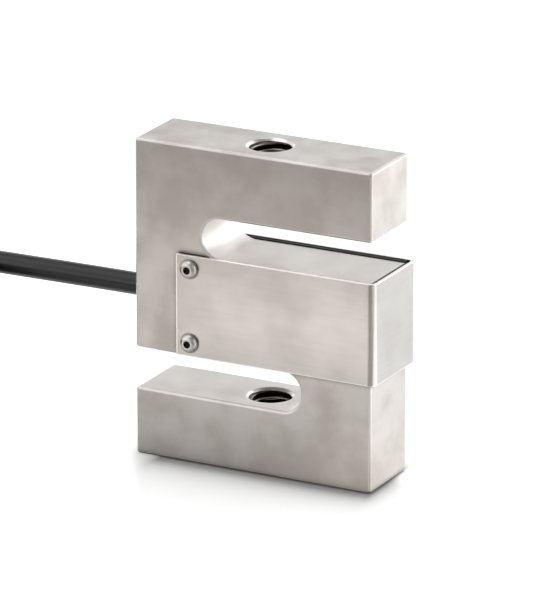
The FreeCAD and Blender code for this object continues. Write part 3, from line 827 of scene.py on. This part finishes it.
def mirrorRay(tree):
    path = addNode(tree, "ShaderNodeLightPath").outputs
    mirror = calculate(tree, "MAXIMUM", path["Is Glossy Ray"], path["Is Transmission Ray"])
    return mirror, path["Is Camera Ray"]


def makeSurround():
    world = bpy.data.worlds.new("studio_surround")
    world.use_nodes = True
    bpy.context.scene.world = world
    tree = world.node_tree
    tree.nodes.clear()
    direction = addNode(tree, "ShaderNodeTexCoord").outputs["Generated"]
    x, y, z = addNode(tree, "ShaderNodeSeparateXYZ", {0: direction}).outputs
    reach, tones = studio["rear"]
    rearTone = ramp(tree, x, *reach, *tones)
    reach, high = studio["ceiling"]
    rearTone = between(tree, ramp(tree, z, *reach), rearTone, high)
    reach, tones = studio["frontWall"]
    frontTone = ramp(tree, z, *reach, *tones)
    reach, high = studio["frontHigh"]
    frontTone = between(tree, ramp(tree, z, *reach), frontTone, high)
    reach, dark = studio["darkSide"]
    frontTone = between(tree, ramp(tree, x, *reach), frontTone, dark)
    tone = between(tree, ramp(tree, y, *studio["front"]), rearTone, frontTone)
    towards, nearness, glowTone = studio["edgeGlow"]
    facing = addNode(tree, "ShaderNodeVectorMath", {0: direction, 1: towards}, operation="DOT_PRODUCT")
    tone = between(tree, ramp(tree, facing.outputs["Value"], *nearness), tone, glowTone)
    mirror, cameraRay = mirrorRay(tree)
    strength = between(tree, mirror, studio["surround"], tone)
    strength = calculate(tree, "MAXIMUM", strength, cameraRay)
    light = addNode(tree, "ShaderNodeBackground", {"Color": (1, 1, 1, 1), "Strength": strength})
    addNode(tree, "ShaderNodeOutputWorld", {"Surface": light.outputs[0]})


# The floor's patches: an amount, and where it fades in along x, y, the distance from y = 0 (away),
# or the distance from the block's middle in the camera's view (across), all in mm
floorLook = {
    "half": 6.0,  # m
    "drop": 0.05 * mm,
    "colour": "#f6f6f6",
    "dark": (0.1, 0.1, 0.1, 1),
    "roughness": 0.9,
    "viewLean": 0.48,  # how far the camera's lines of sight lean along x over the floor
    # Light added where the camera sees it, apart from the shadow in front, and beside the block
    "cameraLift": 0.43,
    "cameraPatches": [
        (0.4, ("across", 26.2, 32.6)),
        (0.5, ("x", 24.5, 26), ("y", -2, 6)),
    ],
    # Each spot's middle along x, the half sizes of its core and how far it fades, in mm
    "shadow": (2.7, (22.5, 9.2), (1.7, 4)),
    # A painted contact shadow round the block's foot, seen by the camera only
    "paintedContactShadow": (0, (25, 7.5), (2.5, 4)),
    "paintedContactShadowPatches": [(0.6, ("y", 6, 1))],
    # Light added where gloss shows it, in front of the block, beside and behind it, and to its right
    "behind": ("y", -12, -2),
    "frontTint": "#fff5ea",
    "frontPatches": [
        (0.98, ("y", -20, -125)),
        (0.25, ("x", 0, 15), ("y", -45, -30)),
    ],
    "rearPatches": [
        (0.6,),
        (-0.1, ("y", 5, 40)),
        (0.22, ("x", 55, 85), ("y", 100, 140)),
        (0.9, ("x", 20, -10), ("y", 20, 50)),
    ],
    "rightPatches": [(0.8, ("x", 50, 75), ("away", 55, 30))],
    # Where gloss shows it dark: far in front, on the camera's side, and along the front face
    "darkPatches": [
        (1.0, ("y", -120, -150)),
        (0.6, ("x", 0, 20), ("y", -30, -55), ("x", 130, 100)),
        (0.5, ("y", -13.5, -9.5), ("y", -7.8, -8.6)),
    ],
}


def fade(tree, places, name, start, end):
    return ramp(tree, places[name], start * mm, end * mm)


# The patches joined by an operation, such as their sum
def joined(tree, places, name, operation="ADD"):
    total = 0.0
    for amount, *fades in floorLook[name]:
        for row in fades:
            amount = calculate(tree, "MULTIPLY", fade(tree, places, *row), amount)
        total = calculate(tree, operation, total, amount)
    return total


# 1 on a spot's core, falling off round it
def spotOnFloor(tree, places, name):
    middle, cores, fades = floorLook[name]
    centred = (calculate(tree, "SUBTRACT", places["x"], middle * mm), places["y"])
    outside = []
    for along, core, reach in zip(centred, cores, fades):
        past = calculate(tree, "SUBTRACT", calculate(tree, "ABSOLUTE", along), core * mm)
        outside.append(calculate(tree, "DIVIDE", calculate(tree, "MAXIMUM", past, 0), reach * mm))
    return calculate(tree, "POWER", math.exp(-1), length(tree, *outside))


def floorPaper():
    material, tree, shader = newMaterial("studio_floor_paper")
    x, y, z = coordinates(tree)
    across = calculate(tree, "ADD", x, calculate(tree, "MULTIPLY", y, floorLook["viewLean"]))
    places = {
        "x": x, "y": y, "away": calculate(tree, "ABSOLUTE", y), "across": calculate(tree, "ABSOLUTE", across),
    }
    mirror, cameraRay = mirrorRay(tree)

    lit = calculate(tree, "SUBTRACT", 1.0, spotOnFloor(tree, places, "shadow"))
    cameraLift = calculate(tree, "MULTIPLY", lit, floorLook["cameraLift"])
    cameraLift = calculate(tree, "ADD", cameraLift, joined(tree, places, "cameraPatches"))
    cameraLift = calculate(tree, "MULTIPLY", cameraLift, cameraRay)
    # Painted contact shadow: the floor's colour darkened round the block's foot for the camera
    paintedContactShadow = spotOnFloor(tree, places, "paintedContactShadow")
    paintedContactShadow = calculate(tree, "MULTIPLY", paintedContactShadow, joined(tree, places, "paintedContactShadowPatches"))

    behind = fade(tree, places, *floorLook["behind"])
    front, rear = [joined(tree, places, name) for name in ("frontPatches", "rearPatches")]
    mirrorLift = between(tree, behind, front, rear)
    mirrorLift = calculate(tree, "ADD", mirrorLift, joined(tree, places, "rightPatches"))
    dark = calculate(tree, "MULTIPLY", joined(tree, places, "darkPatches", "MAXIMUM"), mirror)
    mirrorLift = calculate(tree, "MULTIPLY", mirrorLift, calculate(tree, "SUBTRACT", mirror, dark))

    darker = calculate(tree, "ADD", dark, calculate(tree, "MULTIPLY", paintedContactShadow, cameraRay))
    colour = blend(tree, darker, linear(floorLook["colour"]), floorLook["dark"])
    dress(tree, shader, colour=colour, roughness=floorLook["roughness"])
    shader.inputs["Specular IOR Level"].default_value = 0.0
    plain = calculate(tree, "MAXIMUM", behind, cameraRay)
    glow = addNode(tree, "ShaderNodeEmission", {
        "Color": blend(tree, plain, linear(floorLook["frontTint"]), (1, 1, 1, 1)),
        "Strength": calculate(tree, "ADD", mirrorLift, cameraLift),
    })
    both = addNode(tree, "ShaderNodeAddShader", {0: shader.outputs[0], 1: glow.outputs[0]})
    output = next(node for node in tree.nodes if node.type == "OUTPUT_MATERIAL")
    tree.links.new(both.outputs[0], output.inputs["Surface"])
    return material


def makeFloor():
    half = floorLook["half"]
    level = -floorLook["drop"]
    corners = [(-half, -half, level), (half, -half, level), (half, half, level), (-half, half, level)]
    mesh = bpy.data.meshes.new("studio_floor")
    mesh.from_pydata(corners, [], [(0, 1, 2, 3)])
    mesh.materials.append(floorPaper())
    floor = bpy.data.objects.new("studio_floor", mesh)
    bpy.context.scene.collection.objects.link(floor)


def makeLamps():
    for name, lamp in studio["lamps"].items():
        data = bpy.data.lights.new("lamp_" + name, "AREA")
        data.shape = "RECTANGLE"
        data.size, data.size_y = lamp["size"]
        data.energy = lamp["radiance"] * math.pi * data.size * data.size_y
        holder = bpy.data.objects.new("lamp_" + name, data)
        holder.location = lamp["place"]
        holder.rotation_euler = (camera["target"] - Vector(lamp["place"])).to_track_quat("-Z", "Y").to_euler()
        bpy.context.scene.collection.objects.link(holder)


makeSurround()
makeFloor()
makeLamps()
bpy.context.scene.view_settings.view_transform = "Standard"
print("studio lit")
